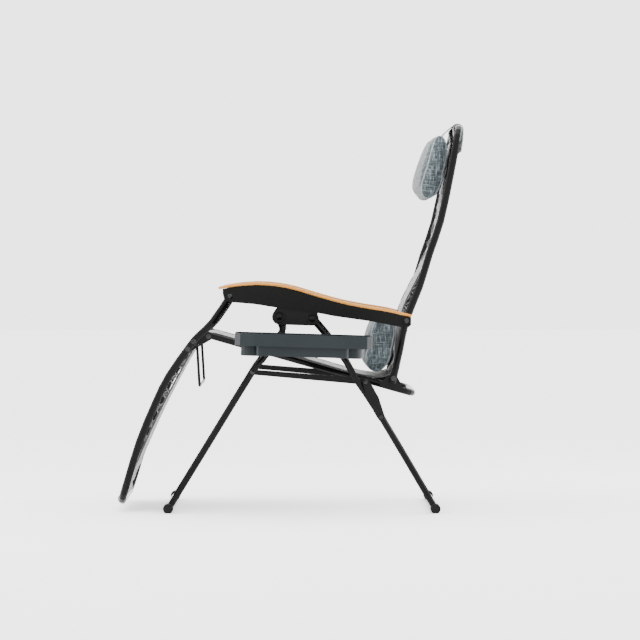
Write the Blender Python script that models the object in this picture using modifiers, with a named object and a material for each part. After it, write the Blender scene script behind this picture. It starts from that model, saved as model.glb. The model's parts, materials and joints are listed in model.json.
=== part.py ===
"""Zero gravity recliner: a folding lounger with a linked back, seat and legrest.

Metres, +Z up. The sitter faces -X and the sitter's left hand is at -Y. Points of the side
view are (x, z) pairs, y_from and y_to are distances from the chair's middle plane, and
every piece hangs from one empty that carries that plane to its place in the part's frame.
"""

from math import cos, pi, radians, sin

import bmesh
import bpy
from mathutils import Matrix, Vector

NAME = "zero_gravity_recliner"

# Place of the chair's middle plane, so that the origin is under the whole part's middle.
CHAIR_X = 0.0
CHAIR_Y = 0.1285

# Pivots of the side view.
HUB_FRONT = Vector((-0.030, 0.560))
HUB_REAR = Vector((0.063, 0.554))
KNEE = Vector((-0.234, 0.503))
HIP = Vector((0.295, 0.384))
ARM_FRONT = Vector((-0.171, 0.620))
ARM_REAR = Vector((0.331, 0.549))
LINK_FRONT = Vector((-0.108, 0.402))
SEAT_PIVOT = Vector((0.215, 0.375))
PLATE_PIVOT = Vector((0.259, 0.275))
BAIL_PIVOT = Vector((-0.267, 0.479))

# Ends of the frames.
FRONT_FOOT = Vector((-0.348, 0.013))
REAR_FOOT = Vector((0.414, 0.013))
SEAT_REAR = Vector((0.350, 0.341))
LEGREST_END = Vector((-0.483, 0.033))
BACK_TOP = Vector((0.483, 1.099))

# Tubes.
LEG_R = 0.0095
SEAT_R = 0.010
SIDE_R = 0.011
BAIL_R = 0.004
CORNER_BEND = 0.055
RAIL_OVER_PIVOT = 0.004
TUBE_END = 0.014

# Layers, as distances from the middle plane.
SEAT_Y = 0.262
SIDE_Y = 0.287
LEG_Y = 0.324
BAIL_Y = 0.264
BRACKET_LAYER = (0.2730, 0.2756)
ARM_WIDTH = (0.2996, 0.3510)
CHANNEL_WIDTH = (0.3000, 0.3470)
LINK_LAYER = (0.3040, 0.3090)
HUB_WIDTH = (0.3060, 0.3420)
PLATE_WIDTH = (0.3110, 0.3370)
SLING_HALF = 0.238

# Thicknesses and gaps.
GAP = 0.0003
BITE = 0.0005
PLATE_THICK = 0.002
HUB_CHEEK = 0.0045
CHANNEL_THICK = 0.0025
WOOD_THICK = 0.008
SLING_THICK = 0.003
PIN_R = 0.004
HEAD_R = 0.0075
HEAD_THICK = 0.0020

# Side tray: its corner, size and slope.
TRAY_FRONT = -0.154
TRAY_LONG = 0.386
TRAY_Y = (0.3536, 0.6080)
TRAY_TOP = 0.519
TRAY_RIM = 0.035
TRAY_LIP = 0.010
TRAY_WALL = 0.003
TRAY_CORNER = 0.030
TRAY_BOW = 0.095
TRAY_SLOPE = 1.7
BIN_X = (-0.092, 0.165)
BIN_Y = (0.480, 0.590)
BIN_DEEP = 0.052
CUP_R = 0.038
CUP_DEEP = 0.056
CUP_Y = 0.415
CUP_X = (-0.100, 0.166)
CLIP_SIZE = (0.026, 0.018)

# Pillows: half height, half thickness, half width, lean in degrees, and how far each thins upwards.
HEAD_HALF = (0.099, 0.036, 0.220)
HEAD_CENTRE = Vector((0.4130, 0.991))
HEAD_LEAN = 11.0
HEAD_TAPER = 0.22
LUMBAR_HALF = (0.090, 0.037, 0.236)
LUMBAR_CENTRE = Vector((0.2580, 0.484))
LUMBAR_LEAN = 8.0
LUMBAR_TAPER = 0.12

SIDES = (("left", -1), ("right", 1))


def new_collection(name):
    group = bpy.data.collections.new(name)
    bpy.context.scene.collection.children.link(group)
    return group


def material(name, colour, roughness, metallic=0.0):
    mat = bpy.data.materials.new(name)
    mat.use_nodes = True
    shader = mat.node_tree.nodes["Principled BSDF"]
    shader.inputs["Base Color"].default_value = (*colour, 1)
    shader.inputs["Roughness"].default_value = roughness
    shader.inputs["Metallic"].default_value = metallic
    return mat


for old in list(bpy.data.objects):
    bpy.data.objects.remove(old, do_unlink=True)

PARTS = new_collection(NAME)
CUTTERS = new_collection("cutters")
CHAIR = bpy.data.objects.new("chair_middle", None)
CHAIR.location = (CHAIR_X, CHAIR_Y, 0)
PARTS.objects.link(CHAIR)


# ---------------------------------------------------------------- routes and outlines


def at(point, y):
    """A point of the side view, at the distance y along the width."""
    return Vector((point[0], y, point[1]))


def towards(start, end, length):
    return start + (end - start).normalized() * length


def arc(start, corner, end, radius, steps=5):
    """Points of the bend that rounds a corner of a route."""
    into = (corner - start).normalized()
    out = (end - corner).normalized()
    turn = into.angle(out)
    reach = radius * (1 - cos(turn)) / sin(turn)
    side = (out - into * cos(turn)).normalized()
    first = corner - into * reach
    points = []
    for i in range(steps + 1):
        angle = turn * i / steps
        points.append(first + into * radius * sin(angle) + side * radius * (1 - cos(angle)))
    return points


def bent(corners, radius, steps=5):
    """A route with every inner corner rounded by the same bend."""
    points = [corners[0]]
    for start, corner, end in zip(corners, corners[1:], corners[2:]):
        points += arc(start, corner, end, radius, steps)
    points.append(corners[-1])
    return points


def flowing(points, steps=4):
    """A smooth route through the points (Catmull-Rom)."""
    padded = [points[0] * 2 - points[1], *points, points[-1] * 2 - points[-2]]
    route = []
    for a, b, c, d in zip(padded, padded[1:], padded[2:], padded[3:]):
        for i in range(steps):
            t = i / steps
            point = b * 2 + (c - a) * t + (a * 2 - b * 5 + c * 4 - d) * t**2
            route.append((point + (b * 3 - a - c * 3 + d) * t**3) / 2)
    route.append(points[-1])
    return route


def disc_hull(discs, steps=16):
    """The outline that a belt round several discs (centre, radius) would take."""
    points = []
    for centre, radius in discs:
        for i in range(steps):
            angle = 2 * pi * i / steps
            points.append((centre[0] + radius * cos(angle), centre[1] + radius * sin(angle)))
    points = sorted(set(points))
    halves = []
    for ordered in (points, points[::-1]):
        half = []
        for p in ordered:
            while len(half) > 1 and turn_of(half[-2], half[-1], p) <= 1e-12:
                half.pop()
            half.append(p)
        halves += half[:-1]
    return halves


def turn_of(a, b, c):
    return (b[0] - a[0]) * (c[1] - a[1]) - (b[1] - a[1]) * (c[0] - a[0])


def rounded_rectangle(low, high, radius, steps=5):
    """A rectangle's outline with round corners, from its two opposite corners."""
    outline = []
    centres = (
        (high[0] - radius, high[1] - radius),
        (low[0] + radius, high[1] - radius),
        (low[0] + radius, low[1] + radius),
        (high[0] - radius, low[1] + radius),
    )
    for quarter, centre in enumerate(centres):
        for i in range(steps + 1):
            angle = pi / 2 * (quarter + i / steps)
            outline.append((centre[0] + radius * cos(angle), centre[1] + radius * sin(angle)))
    return outline


# ---------------------------------------------------------------- solids


def mesh_object(name, mesh, group=PARTS):
    obj = bpy.data.objects.new(name, mesh)
    group.objects.link(obj)
    obj.parent = CHAIR
    return obj


def made_mesh(obj, name, group=PARTS):
    """The evaluated shape of a scratch object as a mesh object of its own, seams welded."""
    bpy.context.view_layer.update()
    graph = bpy.context.evaluated_depsgraph_get()
    mesh = bpy.data.meshes.new_from_object(obj.evaluated_get(graph))
    mesh.transform(obj.matrix_world)
    bpy.data.objects.remove(obj, do_unlink=True)
    shape = bmesh.new()
    shape.from_mesh(mesh)
    bmesh.ops.remove_doubles(shape, verts=shape.verts, dist=1e-6)
    bmesh.ops.recalc_face_normals(shape, faces=shape.faces)
    shape.to_mesh(mesh)
    shape.free()
    return mesh_object(name, mesh, group)


def tube(name, route, radius, sides=3, group=PARTS):
    """A round tube along a route of points."""
    curve = bpy.data.curves.new(name, "CURVE")
    curve.dimensions = "3D"
    curve.bevel_depth = radius
    curve.bevel_resolution = sides
    curve.use_fill_caps = True
    spline = curve.splines.new("POLY")
    spline.points.add(len(route) - 1)
    for knot, point in zip(spline.points, route):
        knot.co = (*point, 1)
    line = bpy.data.objects.new(name + "_line", curve)
    PARTS.objects.link(line)
    return made_mesh(line, name, group)


def slab(name, outline, low, high, plane="XZ", group=PARTS):
    """A flat outline given thickness: from y=low to y=high, or in plane XY from z=low to z=high."""
    curve = bpy.data.curves.new(name, "CURVE")
    curve.dimensions = "2D"
    curve.fill_mode = "BOTH"
    curve.extrude = abs(high - low) / 2
    spline = curve.splines.new("POLY")
    spline.points.add(len(outline) - 1)
    for knot, point in zip(spline.points, outline):
        knot.co = (point[0], point[1], 0, 1)
    spline.use_cyclic_u = True
    flat = bpy.data.objects.new(name + "_flat", curve)
    middle = (low + high) / 2
    if plane == "XZ":
        flat.rotation_euler = (pi / 2, 0, 0)
        flat.location = (0, middle, 0)
    else:
        flat.location = (0, 0, middle)
    PARTS.objects.link(flat)
    return made_mesh(flat, name, group)


def turned(name, profile, centre, side, steps=12, group=PARTS):
    """A piece turned about a line along the width: profile is (radius, distance from the middle)."""
    mesh = bpy.data.meshes.new(name)
    outer_first = sorted(profile_ends(profile), key=lambda rt: -rt[1])
    edges = [(i, i + 1) for i in range(len(outer_first) - 1)]
    mesh.from_pydata([(r, 0, t) for r, t in outer_first], edges, [])
    piece = bpy.data.objects.new(name + "_profile", mesh)
    screw = piece.modifiers.new("turn", "SCREW")
    screw.steps = steps
    screw.render_steps = steps
    screw.use_merge_vertices = True
    screw.merge_threshold = 0.0001
    piece.rotation_euler = (-side * pi / 2, 0, 0)
    piece.location = (centre[0], 0, centre[1])
    PARTS.objects.link(piece)
    return made_mesh(piece, name, group)


def profile_ends(profile):
    """The profile with its ends closed on the axis. A nudge keeps each step in its order."""
    closed = [(0, profile[0][1] - 1e-7), *profile, (0, profile[-1][1] + 1e-7)]
    return [(r, t + i * 1e-8) for i, (r, t) in enumerate(closed)]


def box(name, low, high, group=PARTS):
    shape = bmesh.new()
    bmesh.ops.create_cube(shape, size=1)
    size = [b - a for a, b in zip(low, high)]
    middle = [(a + b) / 2 for a, b in zip(low, high)]
    bmesh.ops.scale(shape, vec=size, verts=shape.verts)
    bmesh.ops.translate(shape, vec=middle, verts=shape.verts)
    mesh = bpy.data.meshes.new(name)
    shape.to_mesh(mesh)
    shape.free()
    return mesh_object(name, mesh, group)


def cut(obj, cutter, operation="DIFFERENCE", solver="EXACT"):
    cutter.hide_render = True
    cutter.display_type = "WIRE"
    modifier = obj.modifiers.new("cut", "BOOLEAN")
    modifier.operation = operation
    modifier.solver = solver
    modifier.object = cutter
    return obj


def weld(obj, *pieces):
    """Joins overlapping pieces to obj, so that they are one body."""
    for piece in pieces:
        CUTTERS.objects.link(piece)
        PARTS.objects.unlink(piece)
        cut(obj, piece, "UNION")
    return obj


def drill(obj, centre, side, y_from, y_to, radius=PIN_R + GAP):
    """A round hole along the width."""
    name = obj.name + "_drill"
    outline = disc_hull([(centre, radius)], 10)
    y_low, y_high = sorted((side * y_from, side * y_to))
    return cut(obj, slab(name, outline, y_low, y_high, group=CUTTERS))


def soften(obj, width, segments=2, angle=35):
    bevel = obj.modifiers.new("soft edges", "BEVEL")
    bevel.width = width
    bevel.segments = segments
    bevel.limit_method = "ANGLE"
    bevel.angle_limit = radians(angle)
    return obj


def layer(side, span):
    """The two faces of a layer on one side of the chair, lower y first."""
    return sorted((side * span[0], side * span[1]))


def finish(obj, mat, pivot=None, pivot_y=0.0, sharp=40):
    """Gives a piece its material and smooth shading, and moves its origin to its joint's axis."""
    obj.data.materials.clear()
    obj.data.materials.append(mat)
    if pivot is not None:
        origin = at(pivot, pivot_y)
        obj.data.transform(Matrix.Translation(-origin))
        obj.location = origin
    obj.data.shade_smooth()
    obj.data.set_sharp_from_angle(angle=radians(sharp))
    return obj


# ---------------------------------------------------------------- materials

FRAME_PAINT = material("frame_paint", (0.010, 0.010, 0.010), 0.25, 0.3)
BRACKET_STEEL = material("bracket_steel", (0.018, 0.018, 0.018), 0.4, 0.6)
BOLT_STEEL = material("bolt_steel", (0.08, 0.08, 0.085), 0.35, 1.0)
SKIRT_PLASTIC = material("skirt_plastic", (0.02, 0.02, 0.019), 0.55)
FOOT_PLASTIC = material("foot_plastic", (0.015, 0.015, 0.015), 0.6)
TRAY_PLASTIC = material("tray_plastic", (0.045, 0.065, 0.07), 0.45)
ARM_WOOD = material("arm_wood", (0.73, 0.35, 0.10), 0.4)
SLING_MESH = material("sling_mesh", (0.20, 0.21, 0.21), 0.8)
PILLOW_CLOTH = material("pillow_cloth", (0.06, 0.09, 0.10), 0.85)


# ---------------------------------------------------------------- bolts


def bolt(name, centre, side, y_from, y_to, collar=None):
    """A bolt with a head at each end of its grip, and a spacer collar (from, to, radius) if any."""
    profile = [(HEAD_R, y_from - HEAD_THICK), (HEAD_R, y_from), (PIN_R, y_from)]
    if collar:
        start, end, radius = collar
        profile += [(PIN_R, start), (radius, start), (radius, end), (PIN_R, end)]
    profile += [(PIN_R, y_to), (HEAD_R, y_to), (HEAD_R, y_to + HEAD_THICK)]
    return turned(name, profile, centre, side, steps=10)


def bolt_pair(name, centre, y_from, y_to, number=""):
    """A bolt of its own on each side."""
    for side_name, side in SIDES:
        piece = bolt(f"{name}{number}_{side_name}", centre, side, y_from, y_to)
        finish(piece, BOLT_STEEL, centre, side * SIDE_Y)


# ---------------------------------------------------------------- legs

FOOT_R = 0.0145
FOOT_HALF_WIDTH = 0.0215


def leg_tube(name, side, side_route, pivot, holes):
    """A leg from its foot, where it stands in the cap's socket, up to the hub."""
    route = [at(p, side * LEG_Y) for p in side_route]
    leg = tube(name, flowing(route, 2), LEG_R)
    for hole in holes:
        drill(leg, hole, side, LEG_Y - 0.02, LEG_Y + 0.02)
    return finish(leg, FRAME_PAINT, pivot, side * LEG_Y)


def foot_cap(name, side, foot, leg_end, leg_next, pivot):
    """A round plastic foot with a flat underside and a slanting socket for the leg."""
    outline = [(x, max(z, 0)) for x, z in disc_hull([(foot, FOOT_R)], 20)]
    span = (LEG_Y - FOOT_HALF_WIDTH, LEG_Y + FOOT_HALF_WIDTH)
    cap = slab(name, outline, *layer(side, span))
    start = at(leg_end, side * LEG_Y)
    mouth = towards(start, at(leg_next, side * LEG_Y), 0.06)
    back_off = towards(start, mouth, -GAP)
    socket = tube(name + "_socket", [back_off, mouth], LEG_R + GAP, group=CUTTERS)
    cut(cap, socket, solver="MANIFOLD")
    return finish(cap, FOOT_PLASTIC, pivot, side * LEG_Y)


def foot_bar(name, foot, pivot):
    reach = LEG_Y - FOOT_HALF_WIDTH - GAP
    bar = tube(name, [at(foot, -reach), at(foot, reach)], LEG_R)
    return finish(bar, FRAME_PAINT, pivot)


FRONT_ROUTE = [
    Vector((-0.342, 0.0205)),
    Vector((-0.230, 0.2030)),
    LINK_FRONT,
    Vector((-0.080, 0.4370)),
    Vector((-0.043, 0.4860)),
    Vector((-0.022, 0.5170)),
    HUB_FRONT + Vector((0.002, -0.016)),
    HUB_FRONT + Vector((-0.006, TUBE_END)),
]
REAR_ROUTE = [
    Vector((0.4095, 0.0205)),
    PLATE_PIVOT,
    Vector((0.187, 0.3830)),
    Vector((0.159, 0.4330)),
    Vector((0.105, 0.5060)),
    HUB_REAR,
    HUB_REAR + Vector((-0.009, TUBE_END * 0.8)),
]

LEGS = (
    ("rear", REAR_ROUTE, REAR_FOOT, HUB_REAR, PLATE_PIVOT),
    ("front", FRONT_ROUTE, FRONT_FOOT, HUB_FRONT, LINK_FRONT),
)
for side_name, side in SIDES:
    for leg_name, leg_route, foot, pivot, linked in LEGS:
        leg_tube(f"{leg_name}_leg_{side_name}", side, leg_route, pivot, (linked, pivot))
        foot_cap(f"{leg_name}_foot_{side_name}", side, foot, leg_route[0], leg_route[1], pivot)

foot_bar("rear_foot_bar", REAR_FOOT, HUB_REAR)
foot_bar("front_foot_bar", FRONT_FOOT, HUB_FRONT)


# ---------------------------------------------------------------- hubs


def hub(side_name, side):
    """Two cheeks with a block between them above the leg ends, and a pin for each leg."""
    outline = disc_hull(
        [
            (HUB_FRONT, 0.022),
            (HUB_REAR, 0.019),
            (Vector((0.000, 0.590)), 0.012),
            (Vector((0.048, 0.586)), 0.012),
        ]
    )
    name = f"hub_{side_name}"
    piece = slab(name, outline, *layer(side, (HUB_WIDTH[0], HUB_WIDTH[0] + HUB_CHEEK)))
    outer = slab("outer_cheek", outline, *layer(side, (HUB_WIDTH[1] - HUB_CHEEK, HUB_WIDTH[1])))
    y_low, y_high = layer(side, (HUB_WIDTH[0] + 0.001, HUB_WIDTH[1] - 0.001))
    block = box("hub_block", (0.004, y_low, 0.582), (0.046, y_high, 0.594))
    weld(piece, block, outer)
    for pivot in (HUB_FRONT, HUB_REAR):
        weld(piece, bolt("hub_pin", pivot, side, HUB_WIDTH[0] + BITE, HUB_WIDTH[1] - BITE))
    finish(piece, BRACKET_STEEL, HUB_REAR, side * LEG_Y)


for side_name, side in SIDES:
    hub(side_name, side)


# ---------------------------------------------------------------- fold linkage


def link_bar(side_name, side):
    """A flat bar from the front leg to the seat's pivot, with a pin at each end."""
    outline = disc_hull([(LINK_FRONT, 0.0075), (SEAT_PIVOT, 0.0095)])
    bar = slab(f"link_bar_{side_name}", outline, *layer(side, LINK_LAYER))
    weld(bar, bolt("link_pin", LINK_FRONT, side, LINK_LAYER[0] + BITE, LEG_Y + LEG_R + GAP))
    collar = (SEAT_Y + SEAT_R + GAP, LINK_LAYER[0] + 0.001, 0.0075)
    grip = (SEAT_Y - SEAT_R - GAP, LINK_LAYER[1] - BITE)
    weld(bar, bolt("seat_pin", SEAT_PIVOT, side, *grip, collar))
    finish(bar, FRAME_PAINT, LINK_FRONT, side * LEG_Y)


def fold_plate(side_name, side):
    """Two cheeks astride the rear leg, with a pin at the leg and a spacer at the free end."""
    waist = (SEAT_PIVOT + PLATE_PIVOT) / 2
    outline = disc_hull([(SEAT_PIVOT, 0.010), (waist, 0.0165), (PLATE_PIVOT, 0.011)])
    name = f"fold_plate_{side_name}"
    piece = slab(name, outline, *layer(side, (PLATE_WIDTH[0], PLATE_WIDTH[0] + PLATE_THICK)))
    outer_layer = layer(side, (PLATE_WIDTH[1] - PLATE_THICK, PLATE_WIDTH[1]))
    spacer = [(0.006, PLATE_WIDTH[0] + 0.001), (0.006, PLATE_WIDTH[1] + HEAD_THICK)]
    weld(
        piece,
        turned("plate_spacer", spacer, SEAT_PIVOT, side),
        slab("outer_cheek", outline, *outer_layer),
        bolt("plate_pin", PLATE_PIVOT, side, PLATE_WIDTH[0] + BITE, PLATE_WIDTH[1] - BITE),
    )
    finish(piece, BRACKET_STEEL, PLATE_PIVOT, side * LEG_Y)


for side_name, side in SIDES:
    link_bar(side_name, side)
    fold_plate(side_name, side)


# ---------------------------------------------------------------- seat


def over_pivot(point):
    return point + Vector((0, RAIL_OVER_PIVOT))


def seat_rail(side_name, side):
    """A straight rail whose rear end bends inwards to the cross tube."""
    front = over_pivot(KNEE)
    rear = over_pivot(SEAT_PIVOT)
    slope = (rear - front).normalized()
    nose = front - slope * TUBE_END
    tail = front + slope * ((SEAT_REAR[0] - front[0]) / slope[0])
    corners = [at(nose, side * SEAT_Y), at(tail, side * SEAT_Y), at(tail, side * (SEAT_Y - 0.06))]
    rail = tube(f"seat_rail_{side_name}", bent(corners, 0.05), SEAT_R)
    drill(rail, KNEE, side, SEAT_Y - 0.02, SEAT_Y + 0.02)
    drill(rail, SEAT_PIVOT, side, SEAT_Y - 0.02, SEAT_Y + 0.02)
    finish(rail, FRAME_PAINT, SEAT_PIVOT, side * SEAT_Y)
    return tail


def hip_bracket(side_name, side):
    """A plate on the rail's outer side that carries the back's pivot."""
    foot_front = over_pivot(SEAT_PIVOT) + Vector((0.048, -0.0125))
    foot_rear = over_pivot(SEAT_PIVOT) + Vector((0.105, -0.029))
    outline = disc_hull([(HIP, 0.012), (foot_front, 0.007), (foot_rear, 0.007)])
    plate = slab(f"hip_bracket_{side_name}", outline, *layer(side, BRACKET_LAYER))
    drill(plate, HIP, side, 0.26, 0.29)
    finish(plate, BRACKET_STEEL, SEAT_PIVOT, side * SEAT_Y)


for side_name, side in SIDES:
    SEAT_TAIL = seat_rail(side_name, side)
    hip_bracket(side_name, side)

CROSS_HALF = SEAT_Y - 0.06 - GAP
finish(
    tube("seat_cross", [at(SEAT_TAIL, -CROSS_HALF), at(SEAT_TAIL, CROSS_HALF)], SEAT_R),
    FRAME_PAINT,
    SEAT_PIVOT,
)

# ---------------------------------------------------------------- legrest

LEGREST_ROUTE = [
    ARM_FRONT + Vector((0.003, TUBE_END)),
    ARM_FRONT,
    Vector((-0.223, 0.543)),
    Vector((-0.262, 0.505)),
    Vector((-0.285, 0.478)),
    Vector((-0.346, 0.392)),
    Vector((-0.385, 0.314)),
    Vector((-0.431, 0.203)),
]
KNEE_RIVET_A = Vector((-0.2760, 0.489))
KNEE_RIVET_B = Vector((-0.2930, 0.467))


CROSS_END = SIDE_Y - CORNER_BEND - 0.008


def side_tube(name, side, side_route, end, pivot, holes):
    """A long side tube that follows its route, then bends inwards at its end."""
    last = towards(end, side_route[-1], CORNER_BEND)
    flow = flowing([at(p, side * SIDE_Y) for p in [*side_route, last]], 2)
    inward = at(end, side * CROSS_END)
    corner = arc(flow[-1], at(end, side * SIDE_Y), inward, CORNER_BEND)
    piece = tube(name, [*flow[:-1], *corner, inward], SIDE_R)
    for hole in holes:
        drill(piece, hole, side, SIDE_Y - 0.02, SIDE_Y + 0.02)
    return finish(piece, FRAME_PAINT, pivot, side * SIDE_Y)


def cross_tube(name, end, pivot):
    reach = CROSS_END - GAP
    piece = tube(name, [at(end, -reach), at(end, reach)], SIDE_R)
    return finish(piece, FRAME_PAINT, pivot)


def knee_bracket(side_name, side):
    """A plate riveted to the legrest's tube that reaches back to the knee pivot."""
    outline = disc_hull([(KNEE, 0.0115), (KNEE_RIVET_A, 0.010), (KNEE_RIVET_B, 0.010)])
    plate = slab(f"knee_bracket_{side_name}", outline, *layer(side, BRACKET_LAYER))
    for hole in (KNEE, KNEE_RIVET_A, KNEE_RIVET_B):
        drill(plate, hole, side, 0.26, 0.2758)
    drill(plate, BAIL_PIVOT, side, 0.26, 0.2758, BAIL_R + GAP)
    finish(plate, BRACKET_STEEL, KNEE, side * SIDE_Y)


for side_name, side in SIDES:
    side_tube(
        f"legrest_tube_{side_name}",
        side,
        LEGREST_ROUTE,
        LEGREST_END,
        KNEE,
        (ARM_FRONT, KNEE_RIVET_A, KNEE_RIVET_B),
    )
    knee_bracket(side_name, side)

cross_tube("legrest_cross", LEGREST_END, KNEE)
TUBE_GRIP = (SIDE_Y - SIDE_R - GAP, SIDE_Y + SIDE_R + GAP)
for number, place in enumerate((KNEE_RIVET_A, KNEE_RIVET_B), 1):
    bolt_pair("knee_rivet_", place, BRACKET_LAYER[0] - GAP, TUBE_GRIP[1], number)
bolt_pair("knee_pin", KNEE, SEAT_Y - SEAT_R - GAP, BRACKET_LAYER[1] + GAP)

# The bail's ends turn outwards into the knee brackets.
BAIL_LOW = Vector((-0.260, 0.362))
bail_corners = [
    at(BAIL_PIVOT, -BRACKET_LAYER[1]),
    at(BAIL_PIVOT, -BAIL_Y),
    at(BAIL_LOW, -BAIL_Y),
    at(BAIL_LOW, BAIL_Y),
    at(BAIL_PIVOT, BAIL_Y),
    at(BAIL_PIVOT, BRACKET_LAYER[1]),
]
finish(tube("bail", bent(bail_corners, 0.0075, 4), BAIL_R, 2), BRACKET_STEEL, BAIL_PIVOT)


# ---------------------------------------------------------------- back

BACK_ROUTE = [
    HIP + Vector((-0.003, -TUBE_END)),
    HIP,
    Vector((0.313, 0.465)),
    ARM_REAR,
    Vector((0.369, 0.644)),
    Vector((0.398, 0.739)),
    Vector((0.430, 0.834)),
    Vector((0.458, 0.966)),
]

for side_name, side in SIDES:
    side_tube(f"back_tube_{side_name}", side, BACK_ROUTE, BACK_TOP, HIP, (HIP, ARM_REAR))

cross_tube("back_cross", BACK_TOP, HIP)
bolt_pair("hip_pin", HIP, BRACKET_LAYER[0] - GAP, TUBE_GRIP[1])


# ---------------------------------------------------------------- armrests

# The wood's upper face, and the skirt's lower edge, from front to rear.
WOOD_TOP = [
    Vector((-0.205, 0.646)),
    Vector((-0.161, 0.654)),
    Vector((-0.100, 0.659)),
    Vector((-0.039, 0.655)),
    Vector((0.012, 0.645)),
    Vector((0.062, 0.630)),
    Vector((0.124, 0.612)),
    Vector((0.174, 0.600)),
    Vector((0.236, 0.589)),
    Vector((0.286, 0.581)),
    Vector((0.347, 0.566)),
]
SKIRT_LOW = [
    Vector((-0.192, 0.626)),
    Vector((-0.188, 0.612)),
    Vector((-0.180, 0.605)),
    Vector((-0.169, 0.602)),
    Vector((-0.100, 0.596)),
    Vector((-0.050, 0.588)),
    Vector((0.085, 0.570)),
    Vector((0.125, 0.562)),
    Vector((0.246, 0.545)),
    Vector((0.317, 0.531)),
    Vector((0.338, 0.531)),
    Vector((0.344, 0.538)),
]


def height_on(line, x):
    """The height of a line of side-view points at x."""
    for a, b in zip(line, line[1:]):
        if a[0] <= x <= b[0]:
            return a[1] + (b[1] - a[1]) * (x - a[0]) / (b[0] - a[0])
    return line[0][1] if x < line[0][0] else line[-1][1]


def sheet_of_rows(name, rows):
    """An open surface through rows of points of equal length."""
    shape = bmesh.new()
    grid = [[shape.verts.new(point) for point in row] for row in rows]
    for row, below in zip(grid, grid[1:]):
        for a, b, c, d in zip(row, row[1:], below[1:], below):
            shape.faces.new((a, b, c, d))
    mesh = bpy.data.meshes.new(name)
    shape.to_mesh(mesh)
    shape.free()
    return mesh_object(name, mesh)


def thicken(obj, thickness, offset):
    solid = obj.modifiers.new("thickness", "SOLIDIFY")
    solid.thickness = thickness
    solid.offset = offset
    solid.use_even_offset = True
    return obj


def arm_wood(side_name, side):
    """A curved board with round ends."""
    middle = side * (ARM_WIDTH[0] + ARM_WIDTH[1]) / 2
    half = (ARM_WIDTH[1] - ARM_WIDTH[0]) / 2
    line = flowing(WOOD_TOP, 2)
    front, rear = line[0][0], line[-1][0]
    rounding = 0.022
    rows = []
    for point in line:
        room = min(point[0] - front, rear - point[0])
        missing = max(0, 1 - room / rounding)
        width = half * (1 - 0.55 * missing**2)
        rows.append([at(point, middle - width), at(point, middle), at(point, middle + width)])
    board = sheet_of_rows(f"arm_wood_{side_name}", rows)
    thicken(board, WOOD_THICK, 1)
    soften(board, 0.0028, 2, 50)
    finish(board, ARM_WOOD, ARM_REAR, side * SIDE_Y, 50)


def arm_channel(side_name, side):
    """A channel open downwards, under the wood, in which the hub runs."""
    y_in, y_out = (side * y for y in CHANNEL_WIDTH)
    under = WOOD_THICK + GAP
    line = flowing(WOOD_TOP, 2)
    rows = []
    stations = sorted({round(p[0], 4) for p in [*SKIRT_LOW, *line]})
    for x in stations:
        if not SKIRT_LOW[0][0] <= x <= SKIRT_LOW[-1][0]:
            continue
        top = height_on(line, x) - under - 0.0005
        low = height_on(SKIRT_LOW, x)
        rows.append(
            [
                Vector((x, y_in, low)),
                Vector((x, y_in, top)),
                Vector((x, y_out, top)),
                Vector((x, y_out, low)),
            ]
        )
    channel = sheet_of_rows(f"arm_channel_{side_name}", rows)
    thicken(channel, CHANNEL_THICK, side)
    drill(channel, ARM_REAR, side, 0.29, 0.32)
    drill(channel, ARM_FRONT, side, 0.29, 0.32)
    finish(channel, SKIRT_PLASTIC, ARM_REAR, side * SIDE_Y)


for side_name, side in SIDES:
    arm_wood(side_name, side)
    arm_channel(side_name, side)

WALL_FACE = CHANNEL_WIDTH[0] + CHANNEL_THICK + GAP
bolt_pair("arm_pin", ARM_REAR, TUBE_GRIP[0], WALL_FACE)


# ---------------------------------------------------------------- slings


def sling(name, line, pivot):
    """A sheet of mesh fabric stretched across the frame along a line of the side view."""
    rows = [[at(p, -SLING_HALF), at(p, SLING_HALF)] for p in flowing(line, 3)]
    sheet = sheet_of_rows(name, rows)
    thicken(sheet, SLING_THICK, 0)
    finish(sheet, SLING_MESH, pivot)


BACK_LINE = [
    Vector((0.474, 1.072)),
    Vector((0.448, 0.930)),
    Vector((0.418, 0.779)),
    Vector((0.365, 0.670)),
    Vector((0.322, 0.580)),
    Vector((0.312, 0.500)),
    Vector((0.307, 0.420)),
]
SEAT_LINE = [
    Vector((0.262, 0.387)),
    Vector((0.199, 0.393)),
    Vector((0.050, 0.436)),
    Vector((-0.100, 0.479)),
    Vector((-0.224, 0.513)),
]
LEGREST_LINE = [
    Vector((-0.262, 0.492)),
    Vector((-0.300, 0.430)),
    Vector((-0.362, 0.314)),
    Vector((-0.420, 0.190)),
    Vector((-0.474, 0.060)),
]

sling("back_sling", BACK_LINE, HIP)
sling("seat_sling", SEAT_LINE, SEAT_PIVOT)
sling("legrest_sling", LEGREST_LINE, KNEE)


# ---------------------------------------------------------------- pillows


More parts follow.
